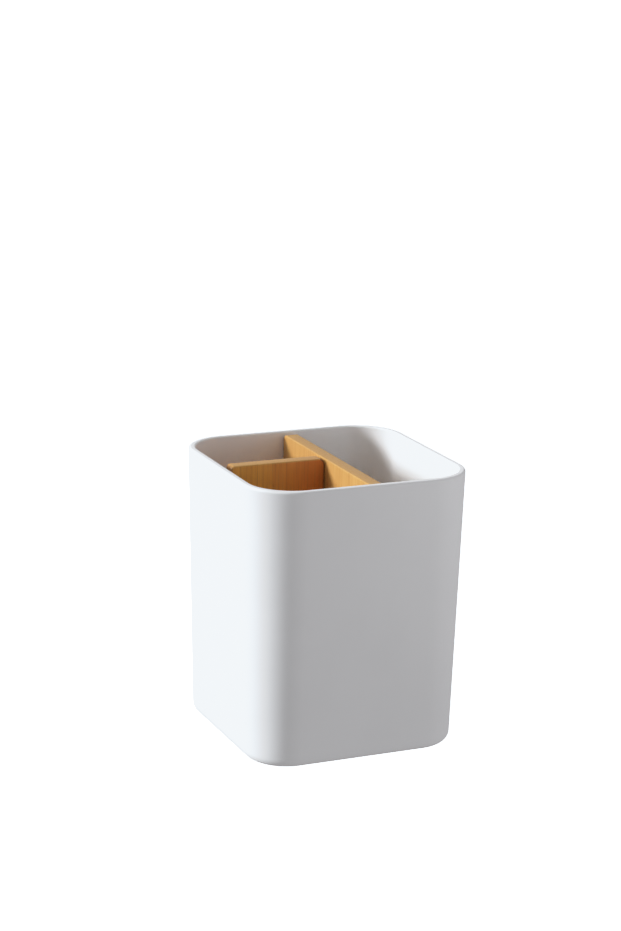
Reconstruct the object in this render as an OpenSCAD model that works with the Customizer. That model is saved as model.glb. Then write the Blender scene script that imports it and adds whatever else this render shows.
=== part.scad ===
// Square toothbrush holder: a moulded cup on four soft feet, with a bamboo divider that lifts out.
// Millimetres. X runs right, Y runs back, Z runs up from the surface that the feet stand on.

/* [Cup] */
// Width of the cup at its rim, left to right
cup_w = 84; // [72:1:110]
// Depth of the cup at its rim, front to back
cup_d = 84; // [72:1:110]
// Height of the moulded cup, without its feet
cup_h = 101.4; // [80:0.2:130]
// Radius of the four upright corners at the rim
corner_r = 18; // [13:0.5:24]
// Lean of the outside walls, in degrees from upright
outer_draft = 1.5; // [0.5:0.1:2]
// Lean of the inside walls, in degrees from upright
inner_draft = 1.7; // [0.5:0.1:2.2]
// Thickness of the wall at the rim
wall_t = 2.6; // [2:0.1:3.4]
// Thickness of the floor
floor_t = 3.4; // [2.6:0.1:5]
// Radius where the outside walls turn under the base
base_round_r = 3.6; // [2:0.1:5]
// Radius where the inside walls run into the floor
floor_round_r = 3; // [1:0.1:4]
// Radius of the outer edge of the rim
rim_outer_r = 0.9; // [0.3:0.1:1]
// Radius of the inner edge of the rim
rim_inner_r = 0.7; // [0.3:0.1:1]

/* [Underside] */
// Width of the flat ring that is left round the hollow under the base
ring_w = 3; // [1.5:0.1:5]
// Depth of the hollow under the base
hollow_depth = 0.8; // [0.3:0.1:1.2]
// Width of the round mark where the mould was filled
gate_d = 7; // [4:0.5:12]
// Depth of that mark, above the hollow
gate_depth = 0.3; // [0.1:0.1:0.6]

/* [Feet] */
// Width of each foot
foot_d = 10; // [6:0.5:12]
// How far the feet stand out below the base
foot_proud = 0.6; // [0.3:0.1:2]
// Depth of the seat of each foot, above the hollow
foot_seat_depth = 0.6; // [0.2:0.1:0.8]
// Gap all round a foot in its seat
foot_clearance = 0.1; // [0.05:0.01:0.3]
// Radius of the lower edge of each foot
foot_edge_r = 0.5; // [0.1:0.1:0.8]

/* [Divider] */
// Thickness of both boards
board_t = 5; // [3.5:0.1:7]
// How far the tops of the boards lie below the rim
board_drop = 0.9; // [0.5:0.1:10]
// How far the long board stands to the right of the middle of the cup
long_board_x = 2.6; // [-8:0.1:8]
// How far the short board stands behind the middle of the cup
short_board_y = 3; // [-12:0.5:12]
// Least gap between the ends of the boards and the inside walls
board_gap = 0.5; // [0.3:0.1:1.5]
// Radius of the top corners of the long board, and of the short board's corners at the joint
board_corner_r = 2.4; // [1:0.1:5]
// Radius of the short board's top corner at the left wall
free_corner_r = 1.2; // [0.5:0.1:5]
// Radius of the eased edges of the boards
board_edge_r = 0.4; // [0.3:0.1:1]

/* [Joint of the boards] */
// Thickness of the glue line between the boards
glue_gap = 0.03; // [0.01:0.01:0.1]
// Width of the pins that hold the boards together
pin_d = 2.4; // [1.6:0.1:2.8]
// How far each pin goes into the long board
pin_in_long = 2.8; // [2:0.1:3]
// How far each pin goes into the short board
pin_in_short = 8; // [5:0.5:12]
// Gap all round a pin in its holes
pin_clearance = 0.03; // [0.01:0.01:0.1]
// Room left past each end of a pin
pin_end_room = 0.4; // [0.1:0.1:0.4]
// Radius of the eased ends of the pins
pin_edge_r = 0.4; // [0.1:0.1:0.6]
// Heights of the lower and the upper pin, as shares of the height of the boards
pin_height_shares = [0.24, 0.76];

/* [Hidden] */

$fn = 96;
// Steps along every rounded corner of an outline
arc_steps = 8;
// Steps round the eased edge of a board
ease_steps = 3;
// How far cuts run past the faces that they open
overrun = 1;

cup_colour = [0.93, 0.93, 0.93];
bamboo_colour = [0.80, 0.58, 0.33];
pin_colour = [0.87, 0.72, 0.50];
foot_colour = [0.78, 0.79, 0.79];

// The upright axes of the four corners stand this far from the middle
corner_x = cup_w / 2 - corner_r;
corner_y = cup_d / 2 - corner_r;

// Reach of the outside and the inside walls from the corner axes, at a height above the base
function outer_reach(z) = corner_r - (cup_h - z) * tan(outer_draft);
function inner_reach(z) = corner_r - wall_t - (cup_h - z) * tan(inner_draft);

hollow_reach = outer_reach(0) - base_round_r - ring_w;
board_top = cup_h - board_drop;
board_h = board_top - floor_t;
// The left face of the long board, which the short board meets
joint_x = long_board_x - board_t / 2;
foot_h = foot_proud + hollow_depth + foot_seat_depth;

// Direction from one point to another, one unit long
function heading(from, to) = (to - from) / norm(to - from);

// The arc that rounds one corner of an outline, or the corner itself where its radius is zero
function corner_arc(before, at, after, r) =
    let (
        in_way = heading(at, before),
        out_way = heading(at, after),
        half = acos(in_way * out_way) / 2,
        centre = at + heading([0, 0], in_way + out_way) * r / sin(half),
        first = at + in_way * r / tan(half) - centre,
        last = at + out_way * r / tan(half) - centre,
        start = atan2(first.y, first.x),
        turn = atan2(last.y, last.x) - start,
        sweep = turn > 180 ? turn - 360 : turn < -180 ? turn + 360 : turn
    )
    r == 0 ? [at] : [
        for (step = [0:arc_steps])
            centre + r * [cos(start + sweep * step / arc_steps), sin(start + sweep * step / arc_steps)]
    ];

// An outline from its corners, each given as [x, y, radius]
function rounded(corners) =
    let (
        count = len(corners),
        spots = [for (corner = corners) [corner[0], corner[1]]]
    )
    [
        for (i = [0:count - 1])
            each corner_arc(spots[(i + count - 1) % count], spots[i], spots[(i + 1) % count], corners[i][2])
    ];

// Carries an outline round the cup's plan. The outline's x runs outwards from the corner axes,
// and the middle between the axes is filled from one height to another.
module round_plan(outline, low, high) {
    for (quarter = [0:3])
        translate([
            corner_x * sign(cos(45 + 90 * quarter)),
            corner_y * sign(sin(45 + 90 * quarter)),
            0
        ])
            rotate([0, 0, 90 * quarter])
                rotate_extrude(angle = 90)
                    polygon(outline);
    for (side = [0, 180]) {
        rotate([0, 0, side])
            translate([corner_x, corner_y, 0])
                rotate([90, 0, 0])
                    linear_extrude(2 * corner_y)
                        polygon(outline);
        rotate([0, 0, side + 90])
            translate([corner_y, corner_x, 0])
                rotate([90, 0, 0])
                    linear_extrude(2 * corner_x)
                        polygon(outline);
    }
    translate([-corner_x, -corner_y, low])
        cube([2 * corner_x, 2 * corner_y, high - low]);
}

// Places its child on each of the four corner axes
module at_corners() {
    for (x = [-corner_x, corner_x], y = [-corner_y, corner_y])
        translate([x, y, 0])
            children();
}

// Walls and floor in one outline: round under the base, up the outside, over the rim, down the inside
module cup_blank() {
    outline = rounded([
        [0, 0, 0],
        [outer_reach(0), 0, base_round_r],
        [outer_reach(cup_h), cup_h, rim_outer_r],
        [inner_reach(cup_h), cup_h, rim_inner_r],
        [inner_reach(floor_t), floor_t, floor_round_r],
        [0, floor_t, 0]
    ]);
    round_plan(outline, 0, floor_t);
}

// The shallow hollow that leaves a ring to stand on
module base_hollow() {
    outline = [
        [0, -overrun],
        [hollow_reach, -overrun],
        [hollow_reach, hollow_depth],
        [0, hollow_depth]
    ];
    round_plan(outline, -overrun, hollow_depth);
}

module moulded_cup() {
    color(cup_colour)
        translate([0, 0, foot_proud])
            difference() {
                cup_blank();
                base_hollow();
                at_corners()
                    cylinder(d = foot_d + 2 * foot_clearance, h = hollow_depth + foot_seat_depth);
                cylinder(d = gate_d, h = hollow_depth + gate_depth);
            }
}

// A soft round foot in its seat, with its lower edge rounded
module foot(x, y) {
    outline = rounded([
        [0, 0, 0],
        [foot_d / 2, 0, foot_edge_r],
        [foot_d / 2, foot_h, 0],
        [0, foot_h, 0]
    ]);
    color(foot_colour)
        translate([x, y, 0])
            rotate_extrude()
                polygon(outline);
}

// A flat board with its outline's edges eased, its thickness centred on the XY plane
module eased_board(corners) {
    hull()
        for (lean = [0:90 / ease_steps:90])
            linear_extrude(board_t - 2 * board_edge_r * (1 - sin(lean)), center = true)
                offset(delta = -board_edge_r * (1 - cos(lean)))
                    polygon(rounded(corners));
}

// Holes in both boards for the pins, seen from the joint's plane
module pin_holes() {
    for (share = pin_height_shares)
        translate([joint_x - pin_in_short - pin_end_room, short_board_y, floor_t + share * board_h])
            rotate([0, 90, 0])
                cylinder(
                    d = pin_d + 2 * pin_clearance,
                    h = pin_in_short + pin_in_long + 2 * pin_end_room
                );
}

// Runs from the front wall to the back wall and leans in with both of them
module long_divider_board() {
    low_y = corner_y + inner_reach(floor_t) - board_gap;
    high_y = corner_y + inner_reach(board_top) - board_gap;
    foot_r = floor_round_r + board_gap;
    color(bamboo_colour)
        translate([0, 0, foot_proud])
            difference() {
                translate([long_board_x, 0, 0])
                    rotate([90, 0, 90])
                        eased_board([
                            [-low_y, floor_t, foot_r],
                            [low_y, floor_t, foot_r],
                            [high_y, board_top, board_corner_r],
                            [-high_y, board_top, board_corner_r]
                        ]);
                pin_holes();
            }
}

// Runs from the left wall to the long board, and butts against it. Its free end is upright,
// so the gap to the leaning wall grows towards the rim.
module short_divider_board() {
    free_x = corner_x + inner_reach(floor_t) - board_gap;
    end_x = joint_x - glue_gap;
    foot_r = floor_round_r + board_gap;
    color(bamboo_colour)
        translate([0, 0, foot_proud])
            difference() {
                translate([0, short_board_y, 0])
                    rotate([90, 0, 0])
                        eased_board([
                            [-free_x, floor_t, foot_r],
                            [end_x, floor_t, board_corner_r],
                            [end_x, board_top, board_corner_r],
                            [-free_x, board_top, free_corner_r]
                        ]);
                pin_holes();
            }
}

// A round pin glued into both boards, across the joint
module joint_pin(height_share) {
    length = pin_in_short + pin_in_long;
    outline = rounded([
        [0, 0, 0],
        [pin_d / 2, 0, pin_edge_r],
        [pin_d / 2, length, pin_edge_r],
        [0, length, 0]
    ]);
    color(pin_colour)
        translate([
            joint_x - pin_in_short,
            short_board_y,
            foot_proud + floor_t + height_share * board_h
        ])
            rotate([0, 90, 0])
                rotate_extrude()
                    polygon(outline);
}

moulded_cup();
foot(-corner_x, -corner_y);  // front_left_foot
foot(corner_x, -corner_y);  // front_right_foot
foot(-corner_x, corner_y);  // back_left_foot
foot(corner_x, corner_y);  // back_right_foot
long_divider_board();
short_divider_board();
joint_pin(pin_height_shares[0]);  // lower_joint_pin
joint_pin(pin_height_shares[1]);  // upper_joint_pin
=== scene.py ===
import math

import bmesh
import bpy
from mathutils import Matrix, Vector


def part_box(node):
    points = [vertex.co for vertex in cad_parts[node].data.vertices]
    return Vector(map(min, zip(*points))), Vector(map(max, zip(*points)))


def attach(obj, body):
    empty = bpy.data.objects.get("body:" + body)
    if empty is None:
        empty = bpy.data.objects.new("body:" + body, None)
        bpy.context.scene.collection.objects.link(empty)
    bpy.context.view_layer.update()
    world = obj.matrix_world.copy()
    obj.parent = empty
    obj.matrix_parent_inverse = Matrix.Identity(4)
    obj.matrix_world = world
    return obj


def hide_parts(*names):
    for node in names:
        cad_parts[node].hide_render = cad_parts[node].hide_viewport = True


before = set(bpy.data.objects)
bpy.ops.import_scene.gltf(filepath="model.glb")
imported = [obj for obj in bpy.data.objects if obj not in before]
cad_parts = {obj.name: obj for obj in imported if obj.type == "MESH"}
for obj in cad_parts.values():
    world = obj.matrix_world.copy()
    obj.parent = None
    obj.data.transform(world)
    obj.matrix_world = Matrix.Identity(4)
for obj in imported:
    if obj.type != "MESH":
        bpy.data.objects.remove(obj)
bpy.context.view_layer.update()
print("frame loaded:", ", ".join(sorted(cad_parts)))

mm = 0.001


# A socket in a node tree. Sums written on it add Math nodes to that tree.
class Wire:
    def __init__(self, tree, socket):
        self.tree = tree
        self.socket = socket

    def sum(self, operation, *others):
        return self.tree.add("ShaderNodeMath", {"operation": operation}, [self, *others])

    def __add__(self, other):
        return self.sum("ADD", other)

    def __radd__(self, other):
        return self.sum("ADD", other)

    def __sub__(self, other):
        return self.sum("SUBTRACT", other)

    def __rsub__(self, other):
        return self.tree.add("ShaderNodeMath", {"operation": "SUBTRACT"}, [other, self])

    def __mul__(self, other):
        return self.sum("MULTIPLY", other)

    def __rmul__(self, other):
        return self.sum("MULTIPLY", other)

    def __truediv__(self, other):
        return self.sum("DIVIDE", other)

    def __pow__(self, other):
        return self.sum("POWER", other)

    def floor(self):
        return self.sum("FLOOR")

    def sine(self):
        return self.sum("SINE")

    def cosine(self):
        return self.sum("COSINE")

    def sign(self):
        return self.sum("SIGN")

    def size(self):
        return self.sum("ABSOLUTE")

    def atMost(self, other):
        return self.sum("MINIMUM", other)

    def atLeast(self, other):
        return self.sum("MAXIMUM", other)

    def above(self, other):
        return self.sum("GREATER_THAN", other)

    # 0 below low, 1 above high, and a smooth rise between them
    def rise(self, low, high):
        return self.tree.add(
            "ShaderNodeMapRange",
            {"interpolation_type": "SMOOTHSTEP", "clamp": True},
            {"Value": self, "From Min": low, "From Max": high, "To Min": 0.0, "To Max": 1.0},
        )


# A shader or geometry tree, with one method that adds any node
class Tree:
    def __init__(self, nodeTree):
        self.nodeTree = nodeTree

    # values are the node's inputs: a list in their order, or a dictionary by name or number
    def add(self, kind, settings=None, values=None, out=0):
        node = self.nodeTree.nodes.new(kind)
        for name, value in (settings or {}).items():
            setattr(node, name, value)
        pairs = values.items() if isinstance(values, dict) else enumerate(values or [])
        for name, value in pairs:
            self.feed(node.inputs[name], value)
        return Wire(self, node.outputs[out]) if node.outputs else None

    # A wire is linked, and so is each wire of a list, to a socket that takes many
    def feed(self, socket, value):
        wires = value if isinstance(value, list) else [value]
        if isinstance(wires[0], Wire):
            for wire in wires:
                self.nodeTree.links.new(wire.socket, socket)
        else:
            socket.default_value = value

    def outputs(self, wire):
        return [Wire(self, output) for output in wire.socket.node.outputs]

    def parts(self, vector):
        return self.outputs(self.add("ShaderNodeSeparateXYZ", {}, [vector]))

    def point(self, x=0.0, y=0.0, z=0.0):
        return self.add("ShaderNodeCombineXYZ", {}, [x, y, z])

    # From the first colour to the second, by share
    def blend(self, share, *colours):
        first, second = (colour if isinstance(colour, Wire) else (*colour, 1) for colour in colours)
        return self.add(
            "ShaderNodeMix",
            {"data_type": "RGBA", "clamp_factor": True},
            {0: share, 6: first, 7: second},
            out=2,
        )


# Outlines

def unit(vector):
    return vector.normalized()


# The arc that rounds one corner of an outline, with a guard point just beyond each of its ends,
# so that smooth shading of the arc doesn't leak over the flat beside it
def cornerArc(before, corner, after, radius, steps, guard):
    if radius == 0:
        return [corner]
    inWay, outWay = unit(before - corner), unit(after - corner)
    half = math.acos(max(-1.0, min(1.0, inWay.dot(outWay)))) / 2
    centre = corner + unit(inWay + outWay) * radius / math.sin(half)
    reach = radius / math.tan(half)
    first, last = corner + inWay * reach - centre, corner + outWay * reach - centre
    turn = first.angle_signed(last)
    arc = [centre + Matrix.Rotation(-turn * step / steps, 2) @ first for step in range(steps + 1)]
    return [corner + inWay * (reach + guard), *arc, corner + outWay * (reach + guard)]


# An outline from its corners, each given as (x, y, radius)
def roundedOutline(corners, steps, guard):
    spots = [Vector(corner[:2]) for corner in corners]
    outline = []
    for i, corner in enumerate(corners):
        after = spots[(i + 1) % len(spots)]
        outline += cornerArc(spots[i - 1], spots[i], after, corner[2], steps, guard)
    return outline


def meshFrom(name, points, edges=(), faces=()):
    mesh = bpy.data.meshes.new(name)
    mesh.from_pydata([tuple(point) for point in points], list(edges), list(faces))
    piece = bpy.data.objects.new(name, mesh)
    bpy.context.scene.collection.objects.link(piece)
    return piece


# A line of vertices in X and Z, for the sweep to carry round
def profilePiece(name, outline):
    rows = [Vector((point.x, 0, point.y)) for point in outline]
    return meshFrom(name, rows, edges=[(i, i + 1) for i in range(len(rows) - 1)])


def finishMesh(piece, material, sharpFrom=35):
    for face in piece.data.polygons:
        face.use_smooth = True
    piece.data.set_sharp_from_angle(angle=math.radians(sharpFrom))
    piece.data.materials.clear()
    piece.data.materials.append(material)


# Geometry trees

# Every tree here is given where the corner axes are, its own sizes and a finish
def newGeometryTree(name, sizes):
    nodeTree = bpy.data.node_groups.new(name, "GeometryNodeTree")
    panel = nodeTree.interface
    panel.new_socket("Geometry", in_out="INPUT", socket_type="NodeSocketGeometry")
    for label, kind, value in [("cornerX", "Float", 24 * mm), ("cornerY", "Float", 24 * mm), *sizes]:
        panel.new_socket(label, in_out="INPUT", socket_type="NodeSocket" + kind).default_value = value
    panel.new_socket("finish", in_out="INPUT", socket_type="NodeSocketMaterial")
    panel.new_socket("Geometry", in_out="OUTPUT", socket_type="NodeSocketGeometry")
    tree = Tree(nodeTree)
    given = tree.outputs(tree.add("NodeGroupInput"))
    return tree, {wire.socket.name: wire for wire in given if wire.socket.name}


# The last steps of a tree: one plain mesh, in its material
def closeTree(tree, geometry, material):
    whole = tree.add("GeometryNodeRealizeInstances", {}, [geometry])
    dressed = tree.add("GeometryNodeSetMaterial", {}, {"Geometry": whole, "Material": material})
    tree.add("NodeGroupOutput", {}, [dressed])
    return tree.nodeTree


# A flat grid over the rectangle of the corner axes. Of 2 by 2 points, these are the corners.
def cornerGrid(tree, given, points=2):
    return tree.add("GeometryNodeMeshGrid", {}, {
        "Size X": given["cornerX"] * 2,
        "Size Y": given["cornerY"] * 2,
        "Vertices X": points,
        "Vertices Y": points,
    })


def addTree(piece, nodeTree, **values):
    modifier = piece.modifiers.new(nodeTree.name, "NODES")
    modifier.node_group = nodeTree
    inputs = [item for item in nodeTree.interface.items_tree if item.in_out == "INPUT"]
    sockets = {item.name: item.identifier for item in inputs}
    for label, value in values.items():
        modifier[sockets[label]] = value


# The evaluated result as a plain mesh, with no modifier left on it
def bake(piece, name):
    bpy.context.view_layer.update()
    evaluated = piece.evaluated_get(bpy.context.evaluated_depsgraph_get())
    mesh = bpy.data.meshes.new_from_object(evaluated)
    mesh.name = name
    baked = bpy.data.objects.new(name, mesh)
    bpy.context.scene.collection.objects.link(baked)
    bpy.data.objects.remove(piece)
    return baked


def profilePoint(tree, profile, index):
    return tree.add(
        "GeometryNodeSampleIndex",
        {"data_type": "FLOAT_VECTOR", "domain": "POINT"},
        {"Geometry": profile, "Value": tree.add("GeometryNodeInputPosition"), "Index": index},
    )


# Carries a profile, drawn as a line of vertices in X (reach) and Z, round a rectangle's corner axes.
# Where the rectangle has no size, the result is a turned form.
def buildSweepTree():
    tree, given = newGeometryTree("sweepRound", [
        ("cornerSteps", "Int", 24),
        ("flatSteps", "Int", 8),
        ("mergeGap", "Float", 0.001 * mm),
    ])
    profile = given["Geometry"]
    rows = tree.add(
        "GeometryNodeAttributeDomainSize", {"component": "MESH"}, {0: profile}, out="Point Count"
    )
    quarterSteps = given["cornerSteps"] + given["flatSteps"]
    grid = tree.add("GeometryNodeMeshGrid", {}, {"Vertices X": quarterSteps * 4 + 1, "Vertices Y": rows})
    index = tree.add("GeometryNodeInputIndex")
    column = (index / rows).floor()
    row = index - column * rows
    quarter = (column / quarterSteps).floor()
    step = column - quarter * quarterSteps
    turned = step.atMost(given["cornerSteps"]) / given["cornerSteps"]
    slid = (step - given["cornerSteps"]).atLeast(0.0) / given["flatSteps"]
    rightAngle = math.pi / 2
    angle = (quarter + turned) * rightAngle
    here = quarter * rightAngle + rightAngle / 2
    there = here + rightAngle
    axisX = here.cosine().sign() * (1 - slid) + there.cosine().sign() * slid
    axisY = here.sine().sign() * (1 - slid) + there.sine().sign() * slid
    reach, _, height = tree.parts(profilePoint(tree, profile, row))
    place = tree.point(
        axisX * given["cornerX"] + angle.cosine() * reach,
        axisY * given["cornerY"] + angle.sine() * reach,
        height,
    )
    swept = tree.add("GeometryNodeSetPosition", {}, {"Geometry": grid, "Position": place})
    patches = [tree.add("GeometryNodeFlipFaces", {}, [swept])]
    for end, turnOver in ((0, True), (rows - 1, False)):
        level = tree.parts(profilePoint(tree, profile, end))[2]
        patch = tree.add("GeometryNodeSetPosition", {}, {
            "Geometry": cornerGrid(tree, given, given["flatSteps"] + 1),
            "Offset": tree.point(z=level),
        })
        patches.append(tree.add("GeometryNodeFlipFaces", {}, [patch]) if turnOver else patch)
    joined = tree.add("GeometryNodeJoinGeometry", {}, [patches])
    merged = tree.add(
        "GeometryNodeMergeByDistance", {}, {"Geometry": joined, "Distance": given["mergeGap"]}
    )
    return closeTree(tree, merged, given["finish"])


sweepTree = buildSweepTree()
print("sweep tree built")

# Finishes

def newMaterial(name):
    material = bpy.data.materials.new(name)
    material.use_nodes = True
    material.node_tree.nodes.clear()
    return material, Tree(material.node_tree)


def closeMaterial(tree, values):
    tree.add("ShaderNodeOutputMaterial", {}, [tree.add("ShaderNodeBsdfPrincipled", {}, values)])


def objectPlace(tree):
    return tree.add("ShaderNodeTexCoord", {}, {}, out="Object")


def stretched(tree, place, scales):
    return tree.add("ShaderNodeVectorMath", {"operation": "MULTIPLY"}, [place, scales])


# Noise with this many features to the metre. Three numbers stretch it, one for each axis.
def noise(tree, place, perMetre, detail=2.0, roughness=0.5):
    if isinstance(perMetre, tuple):
        place, perMetre = stretched(tree, place, perMetre), 1.0
    return tree.add(
        "ShaderNodeTexNoise",
        {"noise_dimensions": "3D"},
        {"Vector": place, "Scale": perMetre, "Detail": detail, "Roughness": roughness},
    )


# One random value from 0 to 1 for each whole number
def randomFor(tree, number):
    return tree.add("ShaderNodeTexWhiteNoise", {"noise_dimensions": "1D"}, {"W": number}, out="Value")


def bump(tree, height, distance, strength=1.0):
    return tree.add("ShaderNodeBump", {}, {"Height": height, "Distance": distance, "Strength": strength})


plasticLook = {
    "colour": (0.85, 0.848, 0.858),
    "cloudColour": (0.83, 0.828, 0.838),
    "cloudsPerMetre": 38.0,
    "cloudRise": (0.35, 0.75),
    "scuffColour": (0.6, 0.6, 0.6),
    "scuffsPerMetre": (900.0, 225.0, 900.0),
    "scuffRise": (0.52, 0.7),
    "scuffShare": 0.15,
    "rubbedUpTo": (0.6 * mm, 1.2 * mm),
    "handledDepth": 9 * mm,
    "handledGloss": 0.06,
    "roughness": 0.52,
    "roughnessSpread": 0.08,
    "grainPerMetre": 3800.0,
    "grainDepth": 0.012 * mm,
    "ior": 1.5,
}


def whitePlastic(rimHeight):
    look = plasticLook
    material, tree = newMaterial("whitePlastic")
    place = objectPlace(tree)
    height = tree.parts(place)[2]
    cloud = noise(tree, place, look["cloudsPerMetre"], detail=3.0)
    grain = noise(tree, place, look["grainPerMetre"])
    handled = height.rise(rimHeight - look["handledDepth"], rimHeight)
    rubbed = 1 - height.rise(*look["rubbedUpTo"])
    scuffs = noise(tree, place, look["scuffsPerMetre"], detail=4.0).rise(*look["scuffRise"])
    scuffed = rubbed * scuffs * look["scuffShare"]
    colour = tree.blend(cloud.rise(*look["cloudRise"]), look["colour"], look["cloudColour"])
    rough = (cloud - 0.5) * look["roughnessSpread"] + look["roughness"] - handled * look["handledGloss"]
    rough = rough + (grain - 0.5) * look["roughnessSpread"]
    closeMaterial(tree, {
        "Base Color": tree.blend(scuffed, colour, look["scuffColour"]),
        "Roughness": rough + scuffed,
        "Normal": bump(tree, grain, look["grainDepth"]),
        "IOR": look["ior"],
    })
    return material


bambooLook = {
    "stripWidth": 6.4 * mm,
    "stripSway": 0.12,
    "swaysPerMetre": (60.0, 60.0, 14.0),
    "seamWidth": 0.05,
    "streaksPerMetre": (700.0, 700.0, 12.0),
    "streakRise": (0.35, 0.75),
    "deepStreakRise": (0.52, 0.72),
    "fibresPerMetre": (2300.0, 2300.0, 40.0),
    "deepFibreRise": (0.42, 0.68),
    "bundlesPerMetre": (1300.0, 1300.0, 42.0),
    "fleckRise": (0.16, 0.34),
    "toneSeed": 3.7,
    "knuckleSeed": 11.3,
    "knuckleSeedStep": 1.7,
    "knuckleLow": 6 * mm,
    "knuckleSpread": 85 * mm,
    "knuckleWaver": 2 * mm,
    "knuckleRise": (0.2 * mm, 1.3 * mm),
    "glowRise": (1.2 * mm, 5 * mm),
    "stripsWithout": 0.7,
    "edgeHeight": 0.5 * mm,
    "edgeColour": (0.56, 0.312, 0.084),
    "fleckColour": (0.27, 0.115, 0.028),
    # Painted shade on the short board's free end, and in the crease at its joint
    "endShadeColour": (0.26, 0.12, 0.04),
    "endShadeDepths": (0.25 * mm, 0.9 * mm),
    "glueColour": (0.15, 0.04, 0.010),
    "glueDepths": (0.7 * mm, 0.2 * mm),
    "glueStart": (0.3 * mm, 1.0 * mm),
    "roughness": 0.42,
    "roughnessSpread": 0.14,
    "fleckRoughness": 0.1,
    "reliefDepth": 0.035 * mm,
    "reliefStrength": 0.7,
    "lacquer": 0.22,
    "lacquerRoughness": 0.28,
    "ior": 1.48,
}
# How far each mark of the wood, and each mark of painted shade, takes the colour towards its own
bambooShares = {
    "strip": 0.35,
    "streak": 0.6,
    # far and farLost: painted shade on the short board, towards its joint and less of it behind
    "far": 0.92,
    "farLost": 0.5,
    "deepStreak": 0.30,
    "deepFibre": 0.26,
    "glow": 0.2,
    "edge": 0.85,
    "fleck": 0.22,
    "seam": 0.05,
    "knuckle": 0.3,
    # Painted shade: the short board's free end, and the crease at its joint
    "endShade": 0.75,
    "glue": 0.85,
}
bambooRelief = {"fibre": 0.5, "streak": 0.4, "fleck": 0.35, "seam": 0.2}
longTones = {
    "shift": 0.3,
    "pale": (0.69, 0.40, 0.138),
    "middle": (0.575, 0.31, 0.088),
    "deep": (0.385, 0.18, 0.040),
    "far": (0.575, 0.31, 0.088),
}
# Painted shade: deeper and redder tones than the long board's, for the warm shade in front of it,
# and the far tone redder still towards the joint
shortTones = {
    "shift": 0.1,
    "pale": (0.79, 0.39, 0.060),
    "middle": (0.60, 0.250, 0.036),
    "deep": (0.42, 0.145, 0.025),
    "far": (0.61, 0.165, 0.029),
    "farStart": 0.9,
    "backMargin": 1 * mm,
}


# The marks of bamboo strips glued side by side with their fibres upright, each from 0 to 1.
# across is the coordinate that counts the strips.
def bambooMarks(tree, place, across, height, shift):
    look = bambooLook
    sway = (noise(tree, place, look["swaysPerMetre"], detail=1.0) - 0.5) * look["stripSway"]
    strip = across / look["stripWidth"] + shift + sway
    number = strip.floor()
    inStrip = strip - number
    tone = randomFor(tree, number + look["toneSeed"])
    slidPlace = tree.add("ShaderNodeVectorMath", {"operation": "ADD"}, [place, tree.point(z=tone)])
    streaks = noise(tree, slidPlace, look["streaksPerMetre"], detail=3.0, roughness=0.6)
    bundles = tree.add(
        "ShaderNodeTexVoronoi",
        {"voronoi_dimensions": "3D", "feature": "F1"},
        {"Vector": stretched(tree, slidPlace, look["bundlesPerMetre"]), "Scale": 1.0, "Randomness": 1.0},
        out="Distance",
    )
    knuckleNumber = number * look["knuckleSeedStep"] + look["knuckleSeed"]
    knuckleHeight = randomFor(tree, knuckleNumber) * look["knuckleSpread"] + look["knuckleLow"]
    fromKnuckle = (height - knuckleHeight + (streaks - 0.5) * look["knuckleWaver"]).size()
    hasKnuckle = tone.above(look["stripsWithout"])
    return {
        "tone": tone,
        "streaks": streaks,
        "fibres": noise(tree, slidPlace, look["fibresPerMetre"], roughness=0.6),
        "flecks": 1 - bundles.rise(*look["fleckRise"]),
        "seam": 1 - inStrip.rise(0.0, look["seamWidth"]) * (1 - inStrip.rise(1 - look["seamWidth"], 1.0)),
        "knuckle": (1 - fromKnuckle.rise(*look["knuckleRise"])) * hasKnuckle,
        "glow": (1 - fromKnuckle.rise(*look["glowRise"])) * hasKnuckle,
    }


# Painted shade: the free end at freeX darkened as if in the cup wall's shade,
# and a dark line of painted shade round the top corner and down the other end, where the boards meet
def paintedEndAndJointShade(tree, colour, x, z, joint):
    look, shares = bambooLook, bambooShares
    # painted shade on the free end, as if the cup wall shaded it
    endShade = 1 - x.rise(*(joint["freeX"] + depth for depth in look["endShadeDepths"]))
    colour = tree.blend(endShade * shares["endShade"], colour, look["endShadeColour"])
    alongX, alongZ = (x - joint["arcX"]).atLeast(0.0), (z - joint["arcZ"]).atLeast(0.0)
    out = (alongX * alongX + alongZ * alongZ) ** 0.5
    # painted shade in the crease along the joint end
    glueLine = out.rise(*(joint["radius"] - depth for depth in look["glueDepths"]))
    glueLine = glueLine * alongX.rise(*look["glueStart"])
    return tree.blend(glueLine * shares["glue"], colour, look["glueColour"])
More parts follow.
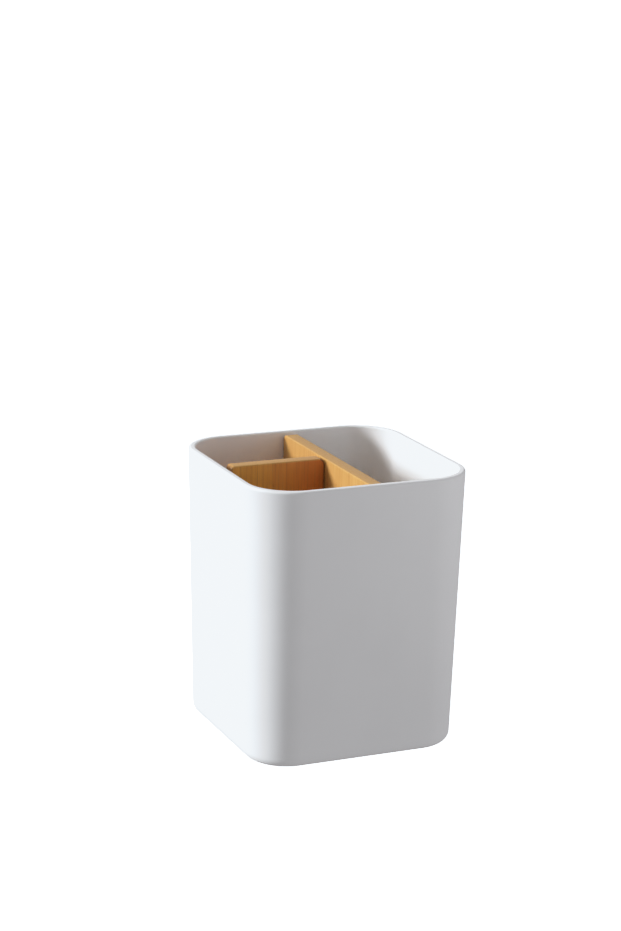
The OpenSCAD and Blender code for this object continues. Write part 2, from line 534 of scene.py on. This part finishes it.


# The colour goes from the first tones to the far one over span, a stretch of the axis that counts
# the strips. With a joint the far tone is painted shade, going less far behind, where y rises over
# joint["backRise"].
def bamboo(name, axis, tones, span, topHeight, joint=None):
    look, shares = bambooLook, bambooShares
    material, tree = newMaterial(name)
    place = objectPlace(tree)
    x, y, z = tree.parts(place)
    across = x if axis == "x" else y
    marks = bambooMarks(tree, place, across, z, tones["shift"])
    streaks, fibres, flecks, seam = (marks[key] for key in ("streaks", "fibres", "flecks", "seam"))
    browner = marks["tone"] * shares["strip"] + streaks.rise(*look["streakRise"]) * shares["streak"]
    colour = tree.blend(browner, tones["pale"], tones["middle"])
    # The far tone: painted shade on the short board, less of it behind; the long board's far tone is its
    # middle one
    farShare = shares["far"] - y.rise(*joint["backRise"]) * shares["farLost"] if joint else shares["far"]
    colour = tree.blend(across.rise(*span) * farShare, colour, tones["far"])
    deepStreaks = streaks.rise(*look["deepStreakRise"]) * shares["deepStreak"]
    deepFibres = fibres.rise(*look["deepFibreRise"]) * shares["deepFibre"]
    colour = tree.blend(deepStreaks + deepFibres, colour, tones["deep"])
    colour = tree.blend(marks["glow"] * shares["glow"], colour, tones["pale"])
    edge = z.rise(topHeight - look["edgeHeight"], topHeight - look["edgeHeight"] / 4)
    colour = tree.blend(edge * shares["edge"], colour, look["edgeColour"])
    colour = tree.blend(flecks * shares["fleck"] + seam * shares["seam"], colour, look["fleckColour"])
    colour = tree.blend(marks["knuckle"] * shares["knuckle"], colour, look["fleckColour"])
    # painted shade at the free end and the joint of the short board
    if joint:
        colour = paintedEndAndJointShade(tree, colour, x, z, joint)
    relief = fibres * bambooRelief["fibre"] + streaks * bambooRelief["streak"]
    relief = relief - flecks * bambooRelief["fleck"] - seam * bambooRelief["seam"]
    rough = (streaks - 0.5) * look["roughnessSpread"] + look["roughness"] + flecks * look["fleckRoughness"]
    closeMaterial(tree, {
        "Base Color": colour,
        "Roughness": rough,
        "Normal": bump(tree, relief, look["reliefDepth"], look["reliefStrength"]),
        "Coat Weight": look["lacquer"],
        "Coat Roughness": look["lacquerRoughness"],
        "IOR": look["ior"],
    })
    return material


pinLook = {
    "paleColour": (0.74, 0.54, 0.29),
    "deepColour": (0.52, 0.32, 0.13),
    "fibresPerMetre": (120.0, 4200.0, 4200.0),
    "fibreRise": (0.3, 0.75),
    "roughness": 0.5,
    "roughnessSpread": 0.2,
    "reliefDepth": 0.02 * mm,
    "reliefStrength": 0.6,
}


def turnedWood():
    look = pinLook
    material, tree = newMaterial("turnedWood")
    fibres = noise(tree, objectPlace(tree), look["fibresPerMetre"], detail=3.0)
    closeMaterial(tree, {
        "Base Color": tree.blend(fibres.rise(*look["fibreRise"]), look["paleColour"], look["deepColour"]),
        "Roughness": fibres * look["roughnessSpread"] + look["roughness"],
        "Normal": bump(tree, fibres, look["reliefDepth"], look["reliefStrength"]),
    })
    return material


rubberLook = {
    "deepColour": (0.50, 0.51, 0.515),
    "paleColour": (0.57, 0.58, 0.585),
    "dustColour": (0.72, 0.71, 0.69),
    "dustShare": 0.25,
    "dustRoughness": 0.1,
    "dustPerMetre": 5200.0,
    "dustRise": (0.6, 0.75),
    "mottlesPerMetre": 700.0,
    "mottleRise": (0.3, 0.7),
    "roughness": 0.6,
    "roughnessSpread": 0.12,
    "reliefDepth": 0.03 * mm,
    "reliefStrength": 0.5,
}


def softRubber():
    look = rubberLook
    material, tree = newMaterial("softRubber")
    place = objectPlace(tree)
    mottle = noise(tree, place, look["mottlesPerMetre"], detail=4.0)
    dust = noise(tree, place, look["dustPerMetre"]).rise(*look["dustRise"])
    colour = tree.blend(mottle.rise(*look["mottleRise"]), look["deepColour"], look["paleColour"])
    closeMaterial(tree, {
        "Base Color": tree.blend(dust * look["dustShare"], colour, look["dustColour"]),
        "Roughness": mottle * look["roughnessSpread"] + look["roughness"] + dust * look["dustRoughness"],
        "Normal": bump(tree, mottle, look["reliefDepth"], look["reliefStrength"]),
    })
    return material


# Cup

cupSizes = {
    "width": 84 * mm,
    "depth": 84 * mm,
    "cornerRadius": 18 * mm,
    "outerDraft": math.radians(1.5),
    "innerDraft": math.radians(1.7),
    "wall": 2.6 * mm,
    "floor": 3.4 * mm,
    "baseRound": 3.6 * mm,
    "floorRound": 3.0 * mm,
    "rimOuterRound": 0.9 * mm,
    "rimInnerRound": 0.7 * mm,
    "ringWidth": 3.0 * mm,
    "hollowDepth": 0.8 * mm,
    "hollowRound": 0.3 * mm,
    "gateWidth": 7.0 * mm,
    "gateDepth": 0.3 * mm,
    "arcSteps": 10,
    "guard": 0.35 * mm,
    "cornerSteps": 36,
    "flatSteps": 12,
    "seatSides": 64,
}
cupLow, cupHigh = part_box("moulded_cup")
cornerX = cupSizes["width"] / 2 - cupSizes["cornerRadius"]
cornerY = cupSizes["depth"] / 2 - cupSizes["cornerRadius"]


# How far the walls stand out from the corner axes at a height
def outerReach(z):
    return cupSizes["cornerRadius"] - (cupHigh.z - z) * math.tan(cupSizes["outerDraft"])


def innerReach(z):
    return cupSizes["cornerRadius"] - cupSizes["wall"] - (cupHigh.z - z) * math.tan(cupSizes["innerDraft"])


def cupProfile():
    sizes = cupSizes
    base, rim = cupLow.z, cupHigh.z
    floorTop, hollowTop = base + sizes["floor"], base + sizes["hollowDepth"]
    hollowReach = outerReach(base) - sizes["baseRound"] - sizes["ringWidth"]
    return roundedOutline([
        (0, hollowTop, 0),
        (hollowReach, hollowTop, sizes["hollowRound"]),
        (hollowReach, base, sizes["hollowRound"] / 2),
        (outerReach(base), base, sizes["baseRound"]),
        (outerReach(rim), rim, sizes["rimOuterRound"]),
        (innerReach(rim), rim, sizes["rimInnerRound"]),
        (innerReach(floorTop), floorTop, sizes["floorRound"]),
        (0, floorTop, 0),
    ], sizes["arcSteps"], sizes["guard"])


# Cuts the four seats of the feet and the round mark in the middle, where the mould was filled
def buildCutTree():
    tree, given = newGeometryTree("cutSeats", [
        ("seatWidth", "Float", 10.2 * mm),
        ("seatTop", "Float", 2 * mm),
        ("gateWidth", "Float", 7 * mm),
        ("gateTop", "Float", 1.7 * mm),
    ])

    def plug(width, top):
        return tree.add(
            "GeometryNodeMeshCylinder", {},
            {"Vertices": cupSizes["seatSides"], "Radius": width / 2, "Depth": top * 2},
        )

    seats = tree.add("GeometryNodeInstanceOnPoints", {}, {
        "Points": cornerGrid(tree, given),
        "Instance": plug(given["seatWidth"], given["seatTop"]),
    })
    seats = tree.add("GeometryNodeRealizeInstances", {}, [seats])
    gate = plug(given["gateWidth"], given["gateTop"])
    cut = tree.add(
        "GeometryNodeMeshBoolean", {"operation": "DIFFERENCE"},
        {"Mesh 1": given["Geometry"], "Mesh 2": [seats, gate]},
    )
    return closeTree(tree, cut, given["finish"])


footLow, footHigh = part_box("front_left_foot")
footSizes = {
    "width": footHigh.x - footLow.x,
    "clearance": 0.1 * mm,
    "edgeRound": 0.5 * mm,
    "topRound": 0.15 * mm,
    "arcSteps": 6,
    "guard": 0.1 * mm,
    "turnSteps": 14,
}


def makeCup():
    plastic = whitePlastic(cupHigh.z)
    piece = profilePiece("cupProfile", cupProfile())
    addTree(
        piece, sweepTree,
        cornerX=cornerX, cornerY=cornerY,
        cornerSteps=cupSizes["cornerSteps"], flatSteps=cupSizes["flatSteps"],
        finish=plastic,
    )
    addTree(
        piece, buildCutTree(),
        cornerX=cornerX, cornerY=cornerY,
        seatWidth=footSizes["width"] + 2 * footSizes["clearance"],
        seatTop=footHigh.z,
        gateWidth=cupSizes["gateWidth"],
        gateTop=cupLow.z + cupSizes["hollowDepth"] + cupSizes["gateDepth"],
        finish=plastic,
    )
    cup = bake(piece, "cupShell")
    finishMesh(cup, plastic, sharpFrom=40)
    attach(cup, "cup")
    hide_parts("moulded_cup")
    print("cup:", len(cup.data.polygons), "faces")


makeCup()

# Feet

def buildFootTree():
    tree, given = newGeometryTree("footSet", [])
    feet = tree.add("GeometryNodeInstanceOnPoints", {}, {
        "Points": cornerGrid(tree, given),
        "Instance": given["Geometry"],
    })
    return closeTree(tree, feet, given["finish"])


def makeFeet():
    sizes = footSizes
    half, top = sizes["width"] / 2, footHigh.z
    piece = profilePiece("footProfile", roundedOutline([
        (0, footLow.z, 0),
        (half, footLow.z, sizes["edgeRound"]),
        (half, top, sizes["topRound"]),
        (0, top, 0),
    ], sizes["arcSteps"], sizes["guard"]))
    rubber = softRubber()
    addTree(
        piece, sweepTree,
        cornerX=0.0, cornerY=0.0, cornerSteps=sizes["turnSteps"], flatSteps=1, finish=rubber,
    )
    addTree(piece, buildFootTree(), cornerX=cornerX, cornerY=cornerY, finish=rubber)
    feet = bake(piece, "footPads")
    finishMesh(feet, rubber)
    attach(feet, "cup")
    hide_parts("front_left_foot", "front_right_foot", "back_left_foot", "back_right_foot")
    print("feet:", len(feet.data.polygons), "faces")


makeFeet()

# Divider

boardSizes = {
    "gap": 0.5 * mm,
    "cornerRound": 2.4 * mm,
    "freeRound": 1.2 * mm,
    "edgeRound": 0.4 * mm,
    "arcSteps": 10,
    "edgeSteps": 5,
    "guard": 0.3 * mm,
}


# Every point of a closed outline, moved in along the outline's own normal
def insetOutline(outline, inset):
    moved = []
    for i, point in enumerate(outline):
        along = unit(outline[(i + 1) % len(outline)] - outline[i - 1])
        moved.append(point + Vector((-along.y, along.x)) * inset)
    return moved


# A board from its outline: rings of points over its rounded edges, closed by a flat on each side
def boardPoints(outline, thickness):
    sizes = boardSizes
    edge = sizes["edgeRound"]
    levels = [(edge + sizes["guard"], thickness / 2)]
    for step in range(sizes["edgeSteps"], -1, -1):
        lean = math.pi / 2 * step / sizes["edgeSteps"]
        levels.append((edge * (1 - math.cos(lean)), thickness / 2 - edge * (1 - math.sin(lean))))
    levels += [(inset, -depth) for inset, depth in reversed(levels)]
    points = [(point, depth) for inset, depth in levels for point in insetOutline(outline, inset)]
    count = len(outline)
    faces = []
    for start in range(0, (len(levels) - 1) * count, count):
        for i in range(count):
            here, after = start + i, start + (i + 1) % count
            faces.append((here, after, after + count, here + count))
    faces.append(tuple(range(count)))
    faces.append(tuple(range(len(points) - count, len(points))))
    return points, faces


def makeBoard(name, node, outline, thickness, toFrame, material):
    points, faces = boardPoints(outline, thickness)
    board = meshFrom(name, [toFrame(point, depth) for point, depth in points], faces=faces)
    shape = bmesh.new()
    shape.from_mesh(board.data)
    bmesh.ops.recalc_face_normals(shape, faces=shape.faces)
    shape.to_mesh(board.data)
    shape.free()
    finishMesh(board, material)
    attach(board, "divider")
    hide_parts(node)
    print(name + ":", len(board.data.polygons), "faces")


# The long board leans with the inside walls at both ends
def makeLongBoard():
    low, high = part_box("long_divider_board")
    sizes = boardSizes
    footRound = cupSizes["floorRound"] + sizes["gap"]
    lowY = cornerY + innerReach(low.z) - sizes["gap"]
    highY = cornerY + innerReach(high.z) - sizes["gap"]
    outline = roundedOutline([
        (-lowY, low.z, footRound),
        (lowY, low.z, footRound),
        (highY, high.z, sizes["cornerRound"]),
        (-highY, high.z, sizes["cornerRound"]),
    ], sizes["arcSteps"], sizes["guard"])
    middle = (low.x + high.x) / 2
    makeBoard(
        "longBoard", "long_divider_board", outline, high.x - low.x,
        lambda point, depth: Vector((middle + depth, point.x, point.y)),
        bamboo("bambooLong", "y", longTones, (low.y, high.y), high.z),
    )


# The short board's free end is upright, and its other end butts against the long board
def makeShortBoard():
    low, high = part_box("short_divider_board")
    sizes = boardSizes
    footRound, jointRound = cupSizes["floorRound"] + sizes["gap"], sizes["cornerRound"]
    freeX = cornerX + innerReach(low.z) - sizes["gap"]
    outline = roundedOutline([
        (-freeX, low.z, footRound),
        (high.x, low.z, jointRound),
        (high.x, high.z, jointRound),
        (-freeX, high.z, sizes["freeRound"]),
    ], sizes["arcSteps"], sizes["guard"])
    middle = (low.y + high.y) / 2
    joint = {
        "freeX": -freeX,
        "arcX": high.x - jointRound,
        "arcZ": high.z - jointRound,
        "radius": jointRound,
        "backRise": (low.y + shortTones["backMargin"], high.y - shortTones["backMargin"]),
    }
    makeBoard(
        "shortBoard", "short_divider_board", outline, high.y - low.y,
        lambda point, depth: Vector((point.x, middle + depth, point.y)),
        bamboo("bambooShort", "x", shortTones, (low.x * shortTones["farStart"], high.x), high.z, joint),
    )


makeLongBoard()
makeShortBoard()

pinWood = turnedWood()
for pin in ("lower_joint_pin", "upper_joint_pin"):
    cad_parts[pin].data.materials.clear()
    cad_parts[pin].data.materials.append(pinWood)

# Studio

studio = {
    "floorHalf": 6.0,
    "floorColour": (0.30, 0.30, 0.30, 1),
    "floorRoughness": 0.9,
    "floorGlow": 2.6,
    "roomSteps": 4,
    "skyBelow": 0.39,
    "skyAbove": 0.65,
    "skyTop": 0.20,
    "horizonBlend": 0.2,
    "brightWay": (0.75, -0.25),
    "skyShade": 0.31,
    "skyTint": (0.985, 0.985, 1.0, 1),
}


# The floor and the round room about it are only looked at: their bounce comes from the sky.
# The floor shows from above only, so that the underside can be looked at from below.
def makeFloor():
    half = studio["floorHalf"]
    floor = meshFrom(
        "studioFloor",
        [(-half, -half, 0), (half, -half, 0), (half, half, 0), (-half, half, 0)],
        faces=[(0, 1, 2, 3)],
    )
    room = meshFrom("studioRoom", [])
    shape = bmesh.new()
    bmesh.ops.create_icosphere(shape, subdivisions=studio["roomSteps"], radius=half)
    bmesh.ops.reverse_faces(shape, faces=shape.faces)
    shape.to_mesh(room.data)
    shape.free()
    material, tree = newMaterial("paleFloor")
    closeMaterial(tree, {
        "Base Color": studio["floorColour"],
        "Roughness": studio["floorRoughness"],
        "Specular IOR Level": 0.0,
        "Emission Color": (1.0, 1.0, 1.0, 1),
        "Emission Strength": studio["floorGlow"],
        "Alpha": 1 - tree.add("ShaderNodeNewGeometry", {}, {}, out="Backfacing"),
    })
    for thing in (floor, room):
        thing.data.materials.append(material)
        thing.visible_diffuse = thing.visible_glossy = thing.visible_shadow = False


# The bounce light of a white room: even from below, strongest above the horizon, weaker overhead,
# and brighter on one side
def makeSky():
    world = bpy.data.worlds.new("studioSky")
    world.use_nodes = True
    world.node_tree.nodes.clear()
    tree = Tree(world.node_tree)
    x, y, z = tree.parts(tree.add("ShaderNodeTexCoord", {}, {}, out="Generated"))
    above = z.rise(-studio["horizonBlend"], studio["horizonBlend"])
    towards = x * studio["brightWay"][0] + y * studio["brightWay"][1]
    upper = studio["skyAbove"] - z * (studio["skyAbove"] - studio["skyTop"])
    strength = (above * upper + (1 - above) * studio["skyBelow"]) * (towards * studio["skyShade"] + 1)
    sky = tree.add("ShaderNodeBackground", {}, {"Color": studio["skyTint"], "Strength": strength})
    tree.add("ShaderNodeOutputWorld", {}, [sky])
    bpy.context.scene.world = world


# A soft key light from the left and behind, a card above the opening, and a small one at the front right
lamps = {
    "keyLight": {
        "kind": "SUN",
        "place": (-0.871, 0.367, 0.326),
        "target": (0, 0, 0),
        "energy": 3.70,
        "color": (0.945, 0.985, 1.0),
        "angle": math.radians(14),
    },
    "openingCard": {
        "kind": "AREA",
        "place": (-0.25, 0.22, 0.55),
        "target": (-0.01, 0.0, 0.10),
        "energy": 0.9,
        "size": 0.3,
    },
    "fillCard": {
        "kind": "AREA",
        "place": (0.085, -0.14, 0.11),
        "target": (0.022, -0.042, 0.085),
        "energy": 0.0165,
        "size": 0.05,
    },
}


def addLamp(name, kind, place, target, **settings):
    light = bpy.data.lights.new(name, kind)
    for setting, value in settings.items():
        setattr(light, setting, value)
    lamp = bpy.data.objects.new(name, light)
    bpy.context.scene.collection.objects.link(lamp)
    lamp.location = place
    lamp.rotation_euler = (Vector(target) - Vector(place)).to_track_quat("-Z", "Y").to_euler()
    lamp.visible_camera = False


# Where the photograph was taken from, measured from the middle of the cup
view = {
    "azimuth": -23.85,
    "elevation": 14.7,
    "roll": 1.24,
    "distance": 0.883,
    "aimRight": -0.00427,
    "aimUp": 0.0458,
    "focalPixels": 2430,
    "imageHeight": 931,
    "sensor": 36.0,
    "clip": (0.01, 60),
}


def makeCamera():
    azimuth, elevation, roll = (math.radians(view[key]) for key in ("azimuth", "elevation", "roll"))
    back = Vector((
        math.sin(azimuth) * math.cos(elevation),
        -math.cos(azimuth) * math.cos(elevation),
        math.sin(elevation),
    ))
    level = Vector((math.cos(azimuth), math.sin(azimuth), 0))
    upright = back.cross(level)
    right = level * math.cos(roll) + upright * math.sin(roll)
    up = upright * math.cos(roll) - level * math.sin(roll)
    middle = Vector((0, 0, (cupLow.z + cupHigh.z) / 2))
    place = middle + right * view["aimRight"] + up * view["aimUp"] + back * view["distance"]
    camera = bpy.data.cameras.new("camera")
    camera.sensor_width = view["sensor"]
    camera.lens = view["focalPixels"] * view["sensor"] / view["imageHeight"]
    camera.clip_start, camera.clip_end = view["clip"]
    holder = bpy.data.objects.new("camera", camera)
    bpy.context.scene.collection.objects.link(holder)
    turn = Matrix((right, up, back)).transposed().to_4x4()
    holder.matrix_world = Matrix.Translation(place) @ turn
    bpy.context.scene.camera = holder


# How light becomes tone: straight up to the greys, then the whites are held back and stay a little cool
toneCurve = {
    "light": (0.50, 0.60, 0.70, 0.80, 0.88, 0.96, 1.05, 1.20, 1.40),
    "red": (0.495, 0.598, 0.697, 0.763, 0.812, 0.853, 0.882, 0.893, 0.901),
    "green": (0.495, 0.600, 0.701, 0.771, 0.830, 0.880, 0.912, 0.925, 0.932),
    "blue": (0.495, 0.602, 0.705, 0.779, 0.843, 0.900, 0.936, 0.948, 0.957),
    "pureWhite": 1.8,
}


def setTones():
    settings = bpy.context.scene.view_settings
    settings.view_transform = "Standard"
    settings.use_curve_mapping = True
    mapping = settings.curve_mapping
    mapping.use_clip = False
    for curve, colour in zip(mapping.curves, ("red", "green", "blue")):
        curve.points[0].location = (0.0, 0.0)
        curve.points[1].location = (toneCurve["pureWhite"], 1.0)
        for spot in zip(toneCurve["light"], toneCurve[colour]):
            curve.points.new(*spot)
    mapping.update()


makeFloor()
makeSky()
for lampName, lamp in lamps.items():
    addLamp(lampName, **lamp)
makeCamera()
setTones()
print("studio ready")
